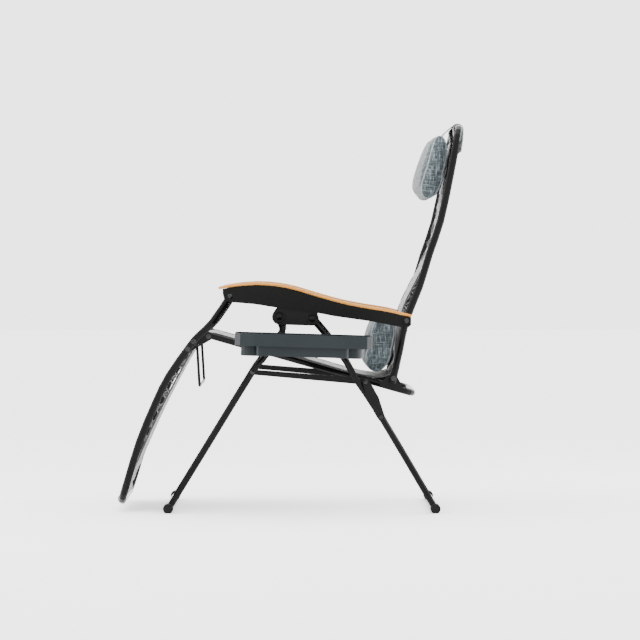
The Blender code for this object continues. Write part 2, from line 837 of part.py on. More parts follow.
def pillow(name, centre, half, lean, taper, pivot):
    """A cushion across the chair: a flattened round section with narrower ends."""
    rows = []
    across = 8
    around = 16
    for i in range(across + 1):
        t = -1 + 2 * i / across
        fullness = (1 - abs(t) ** 4) ** 0.5
        size = 0.35 + 0.65 * fullness
        row = []
        for k in range(around):
            angle = 2 * pi * k / around
            c, s = cos(angle), sin(angle)
            reach = (abs(c) ** 3 + abs(s) ** 3) ** (-1 / 3)
            thick = half[1] * size * c * reach * (1 - taper * s)
            tall = half[0] * (0.8 + 0.2 * fullness) * s * reach
            tilt = radians(lean)
            x = centre[0] + thick * cos(tilt) + tall * sin(tilt)
            z = centre[1] - thick * sin(tilt) + tall * cos(tilt)
            row.append(Vector((x, t * half[2], z)))
        rows.append(row + row[:1])
    body = sheet_of_rows(name, rows)
    shape = bmesh.new()
    shape.from_mesh(body.data)
    bmesh.ops.remove_doubles(shape, verts=shape.verts, dist=1e-6)
    bmesh.ops.holes_fill(shape, edges=shape.edges, sides=0)
    bmesh.ops.recalc_face_normals(shape, faces=shape.faces)
    shape.to_mesh(body.data)
    shape.free()
    finish(body, PILLOW_CLOTH, pivot)


pillow("head_pillow", HEAD_CENTRE, HEAD_HALF, HEAD_LEAN, HEAD_TAPER, HIP)
pillow("lumbar_pillow", LUMBAR_CENTRE, LUMBAR_HALF, LUMBAR_LEAN, LUMBAR_TAPER, HIP)


# ---------------------------------------------------------------- side tray

TRAY = bpy.data.objects.new("tray_slope", None)
TRAY.parent = CHAIR
TRAY.location = (TRAY_FRONT, 0, TRAY_TOP)
TRAY.rotation_euler = (0, radians(TRAY_SLOPE), 0)
PARTS.objects.link(TRAY)


def on_tray(obj, mat):
    """Hangs a piece drawn level, with the tray's front top edge at zero, from the sloping tray."""
    finish(obj, mat)
    obj.parent = TRAY
    for modifier in obj.modifiers:
        if modifier.type == "BOOLEAN":
            modifier.object.parent = TRAY
    return obj


def tray_outline(inset):
    """Straight towards the chair, bowed outwards on the far side, with round corners."""
    near = -TRAY_Y[0] - inset
    far = -TRAY_Y[1] + TRAY_BOW
    left, right = inset, TRAY_LONG - inset
    radius = TRAY_CORNER - inset
    outline = []
    for middle, start in ((right - radius, 0), (left + radius, pi / 2)):
        for i in range(6):
            angle = start + pi / 2 * i / 5
            outline.append((middle + radius * cos(angle), near - radius + radius * sin(angle)))
    half = (right - left) / 2
    deep = TRAY_BOW - inset
    for i in range(15):
        angle = pi + pi * i / 14
        squarish = (abs(cos(angle)) ** 4 + abs(sin(angle)) ** 4) ** -0.25
        outline.append(
            (left + half + half * cos(angle) * squarish, far + deep * sin(angle) * squarish)
        )
    return outline


def tray_slab(name, inset, low, high, group=CUTTERS):
    return slab(name, tray_outline(inset), low, high, "XY", group)


def bin_outline(inset):
    low = (BIN_X[0] - TRAY_FRONT + inset, -BIN_Y[1] + inset)
    high = (BIN_X[1] - TRAY_FRONT - inset, -BIN_Y[0] - inset)
    return rounded_rectangle(low, high, 0.018 - inset, 4)


def cup_place(x):
    return (x - TRAY_FRONT, -CUP_Y)


deck_top = -TRAY_LIP
deck_under = deck_top - TRAY_WALL
tray_deck = tray_slab("tray_deck", 0, -TRAY_RIM, 0, PARTS)
cut(tray_deck, tray_slab("deck_upper", TRAY_WALL, deck_top, 0.01))
cut(tray_deck, tray_slab("deck_lower", TRAY_WALL, -0.1, deck_under))
cut(tray_deck, slab("deck_bin", bin_outline(0), -0.1, 0.1, "XY", CUTTERS))
for cup_x in CUP_X:
    hole = disc_hull([(cup_place(cup_x), CUP_R)], 24)
    cut(tray_deck, slab("deck_cup", hole, -0.1, 0.1, "XY", CUTTERS))
for modifier in tray_deck.modifiers:
    modifier.solver = "MANIFOLD"
on_tray(tray_deck, TRAY_PLASTIC)

tray_bin = slab("tray_bin", bin_outline(GAP), deck_top - BIN_DEEP, deck_top, "XY")
cut(
    tray_bin,
    slab(
        "bin_inside",
        bin_outline(GAP + TRAY_WALL),
        deck_top - BIN_DEEP + TRAY_WALL,
        0.01,
        "XY",
        CUTTERS,
    ),
)
on_tray(tray_bin, TRAY_PLASTIC)

for well_name, cup_x in zip(("front", "rear"), CUP_X):
    floor = deck_top - CUP_DEEP
    outer = disc_hull([(cup_place(cup_x), CUP_R - GAP)], 24)
    inner = disc_hull([(cup_place(cup_x), CUP_R - GAP - TRAY_WALL)], 24)
    well = slab(f"cup_well_{well_name}", outer, floor, deck_top, "XY")
    cut(well, slab("cup_inside", inner, floor + TRAY_WALL, 0.01, "XY", CUTTERS))
    on_tray(well, TRAY_PLASTIC)


def tray_clip(name, leg_x, leg_route, height):
    """A block from the tray to its leg, hollowed to the tube on the leg's front side."""
    low = (leg_x - CLIP_SIZE[0], -TRAY_Y[0] + GAP, height - CLIP_SIZE[1] / 2)
    high = (leg_x, -LEG_Y, height + CLIP_SIZE[1] / 2)
    jaw = box(name, low, high)
    route = [at(p, -LEG_Y) for p in leg_route]
    cut(jaw, tube(name + "_bore", flowing(route, 2), LEG_R + 2 * GAP, group=CUTTERS))
    finish(jaw, TRAY_PLASTIC)


tray_clip("tray_clip_front", -0.036, FRONT_ROUTE, 0.496)
tray_clip("tray_clip_rear", 0.115, REAR_ROUTE, 0.492)
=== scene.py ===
"""The looks of the zero gravity recliner: materials, slings, lacing, pillows and small fittings."""

import json
from math import cos, pi, radians, sin, tau

import bmesh
import bpy
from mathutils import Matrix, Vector


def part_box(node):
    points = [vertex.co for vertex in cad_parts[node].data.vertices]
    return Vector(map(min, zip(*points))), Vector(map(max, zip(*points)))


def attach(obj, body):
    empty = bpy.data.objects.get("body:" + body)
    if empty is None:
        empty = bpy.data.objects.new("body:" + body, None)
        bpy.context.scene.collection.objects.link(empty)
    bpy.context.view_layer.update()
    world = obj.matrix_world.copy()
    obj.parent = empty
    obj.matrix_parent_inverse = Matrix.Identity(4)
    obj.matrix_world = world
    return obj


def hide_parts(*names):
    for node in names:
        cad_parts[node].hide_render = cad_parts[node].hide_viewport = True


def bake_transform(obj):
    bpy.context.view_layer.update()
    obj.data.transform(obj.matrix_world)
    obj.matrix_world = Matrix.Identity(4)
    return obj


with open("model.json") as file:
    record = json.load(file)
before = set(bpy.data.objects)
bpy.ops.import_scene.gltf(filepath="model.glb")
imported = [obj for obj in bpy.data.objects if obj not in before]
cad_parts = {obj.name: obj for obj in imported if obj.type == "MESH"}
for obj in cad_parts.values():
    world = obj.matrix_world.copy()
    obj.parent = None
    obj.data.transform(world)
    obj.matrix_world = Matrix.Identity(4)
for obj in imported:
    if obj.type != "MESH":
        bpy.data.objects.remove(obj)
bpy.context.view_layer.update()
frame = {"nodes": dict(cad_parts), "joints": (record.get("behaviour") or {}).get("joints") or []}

NODES = frame["nodes"]
SIDES = (("left", -1), ("right", 1))


# ---------------------------------------------------------------- places, read from the frame


def middle(node):
    low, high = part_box(node)
    return (low + high) / 2


CHAIR_Y = middle("front_foot_bar").y
JOINTS = {joint["name"]: joint for joint in frame["joints"]}


def pivot(joint):
    """A joint's place in the side view."""
    place = JOINTS[joint]["pos_m"]
    return Vector((place[0], 0, place[2]))


KNEE = pivot("legrest_recline")
HIP = pivot("back_recline")
SEAT_PIVOT = pivot("seat_recline")
ARM_REAR = pivot("armrest_recline")
SLING_HALF = (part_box("seat_sling")[1].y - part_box("seat_sling")[0].y) / 2

# Tube radii, and how far a sling hangs down in its middle.
SIDE_R = 0.011
SEAT_R = 0.010
CLOTH_SAG = 0.004


def at(point, y):
    """A point of the side view, at the distance y from the chair's middle plane."""
    return Vector((point[0], CHAIR_Y + y, point[-1]))


# ---------------------------------------------------------------- materials


# Places of a colour mix's sockets, which share their names with its other kinds of mix.
MIX_FACTOR, MIX_A, MIX_B, MIX_RESULT = 0, 6, 7, 2


class Nodes:
    """Short names for building one material's nodes."""

    def __init__(self, name):
        self.material = bpy.data.materials.new(name)
        self.material.use_nodes = True
        self.tree = self.material.node_tree
        self.shader = self.tree.nodes["Principled BSDF"]

    def add(self, kind, inputs=None, **settings):
        node = self.tree.nodes.new(kind)
        for key, value in settings.items():
            setattr(node, key, value)
        for key, value in (inputs or {}).items():
            self.feed(node.inputs[key], value)
        return node

    def feed(self, socket, value):
        if isinstance(value, bpy.types.NodeSocket):
            self.tree.links.new(value, socket)
        else:
            socket.default_value = value

    def set(self, **values):
        for key, value in values.items():
            name = key.replace("_", " ")
            self.feed(self.shader.inputs[name], value)

    def coords(self, scale=(1, 1, 1), kind="Object", turn=(0, 0, 0)):
        source = self.add("ShaderNodeTexCoord").outputs[kind]
        mapping = self.add("ShaderNodeMapping", {"Vector": source})
        mapping.inputs["Scale"].default_value = scale
        mapping.inputs["Rotation"].default_value = turn
        return mapping.outputs["Vector"]

    def noise(self, vector, scale, detail=4, rough=0.55, distortion=0.0):
        inputs = {
            "Vector": vector,
            "Scale": scale,
            "Detail": detail,
            "Roughness": rough,
            "Distortion": distortion,
        }
        return self.add("ShaderNodeTexNoise", inputs).outputs["Fac"]

    def ramp(self, factor, *stops):
        """A colour ramp; each stop is (position, colour), and a colour may be one grey value."""
        node = self.add("ShaderNodeValToRGB", {"Fac": factor})
        elements = node.color_ramp.elements
        while len(elements) < len(stops):
            elements.new(0.5)
        for element, (position, colour) in zip(elements, stops):
            element.position = position
            grey = not hasattr(colour, "__len__")
            element.color = (colour, colour, colour, 1) if grey else (*colour, 1)
        return node.outputs["Color"]

    def math(self, operation, a, b=0.0):
        node = self.add("ShaderNodeMath", operation=operation)
        self.feed(node.inputs[0], a)
        self.feed(node.inputs[1], b)
        return node.outputs[0]

    def mix(self, factor, a, b):
        node = self.add("ShaderNodeMix", data_type="RGBA")
        self.feed(node.inputs[MIX_FACTOR], factor)
        self.feed(node.inputs[MIX_A], a if isinstance(a, bpy.types.NodeSocket) else (*a, 1))
        self.feed(node.inputs[MIX_B], b if isinstance(b, bpy.types.NodeSocket) else (*b, 1))
        return node.outputs[MIX_RESULT]

    def bump(self, height, strength, distance, under=None):
        node = self.add("ShaderNodeBump", {"Height": height})
        node.inputs["Strength"].default_value = strength
        node.inputs["Distance"].default_value = distance
        if under is not None:
            self.feed(node.inputs["Normal"], under)
        return node.outputs["Normal"]


def painted_metal(name, colour, roughness, gloss):
    """Powder coat: faint orange peel, and small changes of gloss where hands and dust have been."""
    m = Nodes(name)
    place = m.coords()
    wear = m.noise(place, 9, 6)
    speck = m.noise(place, 420, 2)
    pale = tuple(c * 1.5 + 0.001 for c in colour)
    m.set(
        Base_Color=m.mix(m.ramp(wear, (0.45, 0), (0.8, 0.75)), colour, pale),
        Roughness=m.ramp(wear, (0.3, roughness * 0.8), (0.75, roughness * 1.35)),
        Normal=m.bump(speck, 0.12, 0.0006),
        Metallic=0.0,
        Specular_IOR_Level=gloss,
    )
    return m.material


def bare_steel(name, colour, roughness):
    """Blackened zinc, slightly mottled."""
    m = Nodes(name)
    place = m.coords()
    cloud = m.noise(place, 130, 5)
    pale = tuple(min(1, c * 2.4) for c in colour)
    m.set(
        Base_Color=m.mix(m.ramp(cloud, (0.35, 0), (0.75, 0.8)), colour, pale),
        Roughness=m.ramp(cloud, (0.3, roughness * 0.75), (0.8, roughness * 1.4)),
        Metallic=1.0,
        Normal=m.bump(cloud, 0.15, 0.0004),
    )
    return m.material


def moulded_plastic(name, colour, roughness, grain=900, depth=0.25, specular=0.45):
    """Moulded plastic with a fine spark-eroded grain and a little dust in random patches."""
    m = Nodes(name)
    place = m.coords()
    cells = m.add("ShaderNodeTexVoronoi", {"Vector": place, "Scale": grain})
    flow = m.noise(place, 7, 3, distortion=0.6)
    dusty = tuple(c * 1.3 + 0.001 for c in colour)
    m.set(
        Base_Color=m.mix(m.ramp(flow, (0.42, 0), (0.85, 0.8)), colour, dusty),
        Roughness=m.ramp(flow, (0.3, roughness * 0.88), (0.8, min(1, roughness * 1.15))),
        Normal=m.bump(cells.outputs["Distance"], depth, 0.0004),
        Specular_IOR_Level=specular,
    )
    return m.material


def varnished_wood():
    """Beech-coloured board: long grain along the arm, fine pores and a satin varnish."""
    m = Nodes("arm_wood")
    along = m.coords((1.0, 9.0, 14.0))
    drift = m.noise(along, 5.5, 6, 0.6, 1.4)
    rings = m.add(
        "ShaderNodeTexWave",
        {"Vector": along, "Scale": 3.2, "Distortion": 6.5, "Detail": 4.0, "Detail Scale": 1.6},
        wave_type="BANDS",
        bands_direction="Z",
    ).outputs["Fac"]
    pores = m.noise(m.coords((22, 420, 420)), 3.0, 3)
    light, warm, dark = (0.50, 0.225, 0.040), (0.42, 0.165, 0.024), (0.25, 0.080, 0.010)
    base = m.mix(m.ramp(drift, (0.3, 0), (0.72, 1)), light, warm)
    grained = m.mix(m.ramp(rings, (0.5, 0), (1.0, 0.38)), base, dark)
    m.set(
        Base_Color=m.mix(m.ramp(pores, (0.6, 0), (0.8, 0.5)), grained, dark),
        Roughness=m.ramp(drift, (0.3, 0.34), (0.8, 0.5)),
        Normal=m.bump(pores, 0.2, 0.0004),
        Specular_IOR_Level=0.2,
        Coat_Weight=0.08,
        Coat_Roughness=0.22,
    )
    return m.material


def sling_fabric(name, light, dark, pitch=0.0022, hem=None):
    """Textilene: coated round threads in a basket weave, seen on UVs laid out in metres.

    A hem, where there is one, is (the sling's half width, the folded strip's width, its colour).
    """
    m = Nodes(name)
    place = m.coords(kind="UV")
    parts = m.add("ShaderNodeSeparateXYZ", {"Vector": place})
    across, along = parts.outputs["X"], parts.outputs["Y"]
    warp = m.math("SINE", m.math("MULTIPLY", across, tau / pitch))
    weft = m.math("SINE", m.math("MULTIPLY", along, tau / pitch))
    over = m.math("MULTIPLY", warp, weft)
    height = m.math("ADD", m.math("MULTIPLY", over, 0.5), 0.5)
    streak = m.noise(m.coords((160, 4, 1), "UV"), 1.0, 4)
    cloud = m.noise(place, 6, 4)
    thread = m.mix(m.ramp(streak, (0.35, 0), (0.7, 1)), light, tuple(c * 0.72 for c in light))
    worn = m.mix(m.ramp(cloud, (0.4, 0), (0.8, 0.35)), thread, tuple(min(1, c * 1.2) for c in light))
    # painted shade: the weave's low points, where one thread dips under the other, are darkened toward
    # the dark colour
    colour = m.mix(m.ramp(height, (0.28, 0.85), (0.62, 0)), worn, dark)
    relief = height
    if hem:
        half, strip, hem_colour = hem
        outward = m.math("ABSOLUTE", across)
        folded = m.math("GREATER_THAN", outward, half - strip)
        ribs = m.math("SINE", m.math("MULTIPLY", along, tau / 0.0016))
        # painted shade: dark lines between the hem's ribs, which have no relief of their own
        hem_shade = m.mix(m.ramp(ribs, (0.0, 0.4), (0.7, 0)), hem_colour, (0.006, 0.006, 0.006))
        colour = m.mix(folded, colour, hem_shade)
        dash = m.math("GREATER_THAN", m.math("SINE", m.math("MULTIPLY", along, tau / 0.0055)), -0.2)
        relief = m.math("ADD", relief, m.math("MULTIPLY", folded, 0.8))
        for seam in (half - strip + 0.0018, half - strip + 0.0078):
            near = m.math("LESS_THAN", m.math("ABSOLUTE", m.math("SUBTRACT", outward, seam)), 0.0006)
            stitch = m.math("MULTIPLY", near, dash)
            colour = m.mix(stitch, colour, (0.30, 0.31, 0.31))
            relief = m.math("ADD", relief, stitch)
    m.set(
        Base_Color=colour,
        Roughness=0.62,
        Normal=m.bump(relief, 0.5, 0.0009),
        Sheen_Weight=0.15,
        Specular_IOR_Level=0.35,
    )
    return m.material


def slub_fabric(name, dark, mid, light, pitch=0.0030):
    """Melange canvas: a crosshatch of uneven dark and pale threads over a plain weave."""
    m = Nodes(name)
    place = m.coords()
    upright = m.noise(m.coords((150, 150, 14)), 2.2, 5, 0.62)
    level = m.noise(m.coords((14, 14, 230)), 2.2, 5, 0.62)
    cloud = m.noise(place, 16, 4)
    parts = m.add("ShaderNodeSeparateXYZ", {"Vector": place})
    around = m.math("ADD", parts.outputs["X"], parts.outputs["Y"])
    warp = m.math("SINE", m.math("MULTIPLY", around, tau / pitch))
    weft = m.math("SINE", m.math("MULTIPLY", parts.outputs["Z"], tau / pitch))
    weave = m.math("ADD", m.math("MULTIPLY", m.math("MULTIPLY", warp, weft), 0.5), 0.5)
    body = m.mix(m.ramp(cloud, (0.35, 0), (0.75, 1)), dark, mid)
    hatch = m.mix(m.ramp(upright, (0.50, 0), (0.66, 0.85)), body, light)
    hatch = m.mix(m.ramp(level, (0.53, 0), (0.68, 0.75)), hatch, light)
    # painted shade: where the level threads lie low, the colour is darkened
    shaded = m.mix(m.ramp(level, (0.30, 0.75), (0.44, 0)), hatch, tuple(c * 0.45 for c in dark))
    fluff = m.math("ADD", weave, m.math("MULTIPLY", level, 0.8))
    m.set(
        # painted shade: the weave's low points are darkened
        Base_Color=m.mix(m.ramp(weave, (0.0, 0.42), (0.5, 0)), shaded, tuple(c * 0.4 for c in dark)),
        Roughness=0.86,
        Normal=m.bump(fluff, 0.55, 0.0011),
        Sheen_Weight=0.35,
        Sheen_Roughness=0.45,
        Specular_IOR_Level=0.25,
    )
    return m.material


def webbing(name, colour):
    """Ribbed elastic or braid."""
    m = Nodes(name)
    place = m.coords()
    ribs = m.add("ShaderNodeTexWave", {"Vector": place, "Scale": 260.0, "Distortion": 1.5})
    tone = m.noise(place, 60, 4)
    pale = tuple(min(1, c * 1.8 + 0.01) for c in colour)
    m.set(
        Base_Color=m.mix(m.ramp(tone, (0.4, 0), (0.75, 0.8)), colour, pale),
        Roughness=0.75,
        Normal=m.bump(ribs.outputs["Fac"], 0.4, 0.0005),
        Sheen_Weight=0.2,
    )
    return m.material


PAINT = painted_metal("frame_paint", (0.0016, 0.0016, 0.0015), 0.17, 0.09)
BRACKET = painted_metal("bracket_paint", (0.0024, 0.0024, 0.0023), 0.28, 0.09)
BOLT = bare_steel("bolt_steel", (0.018, 0.018, 0.019), 0.34)
EYELET = bare_steel("eyelet_steel", (0.33, 0.33, 0.33), 0.3)
SKIRT = moulded_plastic("skirt_plastic", (0.0030, 0.0030, 0.0028), 0.5, 700, 0.3, 0.07)
FOOT = moulded_plastic("foot_plastic", (0.0022, 0.0022, 0.0022), 0.4, 500, 0.3, 0.1)
TRAY = moulded_plastic("tray_plastic", (0.0060, 0.0092, 0.0108), 0.36, 800, 0.22, 0.14)
WOOD = varnished_wood()
SLING_STRIP = (SLING_HALF, 0.022, (0.035, 0.036, 0.037))
SLING = sling_fabric("sling_mesh", (0.36, 0.37, 0.36), (0.05, 0.05, 0.05), 0.0022, SLING_STRIP)
HEM = sling_fabric("sling_hem", (0.045, 0.047, 0.048), (0.012, 0.012, 0.012), 0.0014)
PILLOW = slub_fabric("pillow_cloth", (0.012, 0.018, 0.021), (0.034, 0.047, 0.053), (0.20, 0.245, 0.265))
# painted light: a much lighter copy of the pillow cloth, standing for the cushion's front where light
# falls on it; the head flap wears it
PILLOW_CLOTH_LIT = slub_fabric("pillow_cloth_painted_lit", (0.26, 0.275, 0.275), (0.37, 0.385, 0.38), (0.52, 0.53, 0.52))
PIPING = webbing("pillow_piping", (0.16, 0.19, 0.20))
CORD = webbing("lacing_cord", (0.03, 0.03, 0.031))


# ---------------------------------------------------------------- shapes


def linked(name, data, *materials):
    obj = bpy.data.objects.new(name, data)
    bpy.context.scene.collection.objects.link(obj)
    for mat in materials:
        obj.data.materials.append(mat)
    return obj


def from_bmesh(name, shape, *materials):
    mesh = bpy.data.meshes.new(name)
    shape.to_mesh(mesh)
    shape.free()
    mesh.shade_smooth()
    return linked(name, mesh, *materials)


def applied(obj):
    """The object with its modifiers made part of its mesh."""
    graph = bpy.context.evaluated_depsgraph_get()
    mesh = bpy.data.meshes.new_from_object(obj.evaluated_get(graph))
    old = obj.data
    obj.modifiers.clear()
    obj.data = mesh
    if isinstance(old, bpy.types.Mesh):
        bpy.data.meshes.remove(old)
    return obj


def cords(name, routes, radius, mat, closed=False, sides=3):
    """Round cords along routes of points, as one mesh."""
    curve = bpy.data.curves.new(name, "CURVE")
    curve.dimensions = "3D"
    curve.bevel_depth = radius
    curve.bevel_resolution = sides
    curve.use_fill_caps = not closed
    for route in routes:
        spline = curve.splines.new("NURBS")
        spline.points.add(len(route) - 1)
        for knot, point in zip(spline.points, route):
            knot.co = (*point, 1)
        spline.use_cyclic_u = closed
        spline.use_endpoint_u = not closed
        spline.order_u = 4
        spline.resolution_u = 3
    line = linked(name + "_line", curve)
    graph = bpy.context.evaluated_depsgraph_get()
    mesh = bpy.data.meshes.new_from_object(line.evaluated_get(graph))
    bpy.data.objects.remove(line)
    mesh.materials.clear()
    mesh.shade_smooth()
    return linked(name, mesh, mat)


def turned(shape, profile, centre, axis, steps=20):
    """Adds a solid of revolution: profile holds (radius, distance along the axis) pairs."""
    turn = Vector((0, 0, 1)).rotation_difference(Vector(axis)).to_matrix()
    rings = []
    for radius, height in profile:
        ring = []
        for i in range(steps):
            angle = tau * i / steps
            point = Vector((radius * cos(angle), radius * sin(angle), height))
            ring.append(shape.verts.new(turn @ point + Vector(centre)))
        rings.append(ring)
    for low, high in zip(rings, rings[1:]):
        for i in range(steps):
            j = (i + 1) % steps
            shape.faces.new((low[i], low[j], high[j], high[i]))
    shape.faces.new(rings[0][::-1])
    shape.faces.new(rings[-1])


def dome(radius, height, steps=5):
    """The profile of a domed head that stands on its base at 0."""
    points = [(radius, 0), (radius, height * 0.3)]
    for i in range(1, steps + 1):
        angle = pi / 2 * i / steps
        points.append((radius * cos(angle) + 1e-5, height * (0.3 + 0.7 * sin(angle))))
    return points


def crossing(node, axis, value):
    """The middle of the cut that a plane across an axis makes through a CAD node."""
    mesh = NODES[node].data
    others = []
    for edge in mesh.edges:
        a, b = (mesh.vertices[i].co for i in edge.vertices)
        if (a[axis] - value) * (b[axis] - value) < 0:
            others.append(a.lerp(b, (value - a[axis]) / (b[axis] - a[axis])))
    low = Vector([min(p[k] for p in others) for k in range(3)])
    high = Vector([max(p[k] for p in others) for k in range(3)])
    return (low + high) / 2


def centre_line(node, axis, start, end, count):
    """Points along a node's middle, from plane cuts at equal steps between start and end."""
    values = [start + (end - start) * i / (count - 1) for i in range(count)]
    return [crossing(node, axis, value) for value in values]


def flowing(points, steps=4):
    """A smooth route through the points (Catmull-Rom)."""
    padded = [points[0] * 2 - points[1], *points, points[-1] * 2 - points[-2]]
    route = []
    for a, b, c, d in zip(padded, padded[1:], padded[2:], padded[3:]):
        for i in range(steps):
            t = i / steps
            point = b * 2 + (c - a) * t + (a * 2 - b * 5 + c * 4 - d) * t**2
            route.append((point + (b * 3 - a - c * 3 + d) * t**3) / 2)
    route.append(points[-1])
    return route


def length_of(points):
    return sum((b - a).length for a, b in zip(points, points[1:]))


def spaced(points, count):
    """The same route with its points at equal distances."""
    total = length_of(points)
    result = [points[0].copy()]
    walked = 0.0
    for a, b in zip(points, points[1:]):
        step = (b - a).length
        while len(result) < count - 1 and walked + step >= total * len(result) / (count - 1):
            result.append(a.lerp(b, (total * len(result) / (count - 1) - walked) / step))
        walked += step
    result.append(points[-1].copy())
    return result


# ---------------------------------------------------------------- CAD nodes that stay

LOOKS = {
    "rear_leg": PAINT,
    "front_leg": PAINT,
    "rear_foot_bar": PAINT,
    "front_foot_bar": PAINT,
    "link_bar": PAINT,
    "seat_rail": PAINT,
    "seat_cross": PAINT,
    "legrest_tube": PAINT,
    "legrest_cross": PAINT,
    "back_tube": PAINT,
    "back_cross": PAINT,
    "hub": BRACKET,
    "fold_plate": BRACKET,
    "hip_bracket": BRACKET,
    "knee_bracket": BRACKET,
    "bail": BRACKET,
    "knee_pin": BOLT,
    "hip_pin": BOLT,
    "arm_pin": BOLT,
    "knee_rivet": BOLT,
    "arm_channel": SKIRT,
    "rear_foot": FOOT,
    "front_foot": FOOT,
    "tray": TRAY,
    "cup_well": TRAY,
    "arm_wood": WOOD,
}
SOFT_NODES = ("back_sling", "seat_sling", "legrest_sling", "head_pillow", "lumbar_pillow")
EDGE_WIDTHS = {"tray": 0.0009, "cup_well": 0.0006, "arm_channel": 0.0007, "hub": 0.0008}
EDGE_WIDTHS.update({"fold_plate": 0.0005, "rear_foot": 0.002, "front_foot": 0.002})


def named_for(node, table):
    """The entry of a table whose key is the longest start of the node's name."""
    keys = [key for key in table if node.startswith(key)]
    return table[max(keys, key=len)] if keys else None


for node, obj in NODES.items():
    if node in SOFT_NODES:
        continue
    obj.data.materials.clear()
    obj.data.materials.append(named_for(node, LOOKS))
    weld = obj.modifiers.new("weld", "WELD")
    weld.merge_threshold = 0.00001
    width = named_for(node, EDGE_WIDTHS)
    if width:
        bevel = obj.modifiers.new("soft edges", "BEVEL")
        bevel.width = width
        bevel.segments = 2
        bevel.limit_method = "ANGLE"
        bevel.angle_limit = radians(50)
        bevel.harden_normals = True


# ---------------------------------------------------------------- slings

CLOTH_THICK = 0.0016
SEAM_KNEE = KNEE + Vector((-0.012, 0, 0.0065))
SEAM_HIP = HIP + Vector((-0.006, 0, 0.012))


def sling_line(node, axis, count):
    """The middle of a CAD sling, in the side view, from its low end to its high end."""
    low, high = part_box(node)
    inset = 0.0025
    return centre_line(node, axis, low[axis] + inset, high[axis] - inset, count)


BACK_LINE = [SEAM_HIP, *sling_line("back_sling", 2, 16)]
seat_line = sling_line("seat_sling", 0, 14)
SEAT_REAR_LINE = [*seat_line[len(seat_line) // 2 :], SEAM_HIP]
SEAT_FRONT_LINE = [SEAM_KNEE, *seat_line[: len(seat_line) // 2 + 1]]
LEGREST_LINE = [*sling_line("legrest_sling", 2, 12), SEAM_KNEE]


def cloth(name, line, rows, sag, half=SLING_HALF, mat=SLING):
    """A stretched sheet across the chair, with UVs in metres and a little sag between its sides."""
    route = spaced(flowing([Vector((p[0], 0, p[-1])) for p in line], 6), rows)
    columns = 25
    shape = bmesh.new()
    layout = shape.loops.layers.uv.new("UVMap")
    grid = []
    place = {}
    for r, point in enumerate(route):
        ahead = route[min(r + 1, rows - 1)] - route[max(r - 1, 0)]
        normal = Vector((ahead.z, 0, -ahead.x)).normalized()
        if normal.z > 0:
            normal = -normal
        ends = min(r, rows - 1 - r) / (rows - 1) * 2
        row = []
        for c in range(columns):
            t = -1 + 2 * c / (columns - 1)
            droop = normal * sag * (1 - t * t) * min(1, ends * 2)
            vertex = shape.verts.new(at(point + droop, t * half))
            place[vertex] = (t * half, length_of(route[: r + 1]))
            row.append(vertex)
        grid.append(row)
    for row, after in zip(grid, grid[1:]):
        for a, b, c, d in zip(row, row[1:], after[1:], after):
            shape.faces.new((a, b, c, d))
    for face in shape.faces:
        for loop in face.loops:
            loop[layout].uv = place[loop.vert]
    obj = from_bmesh(name, shape, mat)
    solid = obj.modifiers.new("thickness", "SOLIDIFY")
    solid.thickness = CLOTH_THICK
    solid.offset = 0
    applied(obj)
    return obj, route


def hems(name, route, half=SLING_HALF):
    """The rolled edges at both sides of a sling."""
    edges = [[at(p, side * (half - 0.001)) for p in route] for _, side in SIDES]
    return cords(name, edges, 0.0026, HEM)


def carry(pieces, body=None, blend=None, replaces=None):
    """Puts pieces on their body, or, when blend is given, leaves them fixed where they stand on no
    body; hides the CAD node that they replace.
    """
    for piece in pieces:
        if blend:
            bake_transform(piece)
        else:
            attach(piece, body)
        if replaces:
            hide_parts(replaces)


def on_middle(point):
    return (point[0], CHAIR_Y, point[2])


back_cloth, back_route = cloth("back_cloth", BACK_LINE, 61, CLOTH_SAG)
back_ends = ("seat", "back", on_middle(SEAM_HIP), on_middle(BACK_LINE[1]))
carry([back_cloth, hems("back_hems", back_route)], blend=back_ends, replaces="back_sling")

rear_cloth, rear_route = cloth("seat_cloth_rear", SEAT_REAR_LINE, 29, CLOTH_SAG)
carry([rear_cloth, hems("seat_hems_rear", rear_route)], "seat", replaces="seat_sling")

front_cloth, front_route = cloth("seat_cloth_front", SEAT_FRONT_LINE, 29, CLOTH_SAG)
carry([front_cloth, hems("seat_hems_front", front_route)], "seat", replaces="seat_sling")

legrest_cloth, legrest_route = cloth("legrest_cloth", LEGREST_LINE, 45, CLOTH_SAG)
legrest_ends = ("seat", "legrest", on_middle(SEAM_KNEE), on_middle(LEGREST_LINE[-2]))
legrest_pieces = [legrest_cloth, hems("legrest_hems", legrest_route)]
carry(legrest_pieces, blend=legrest_ends, replaces="legrest_sling")


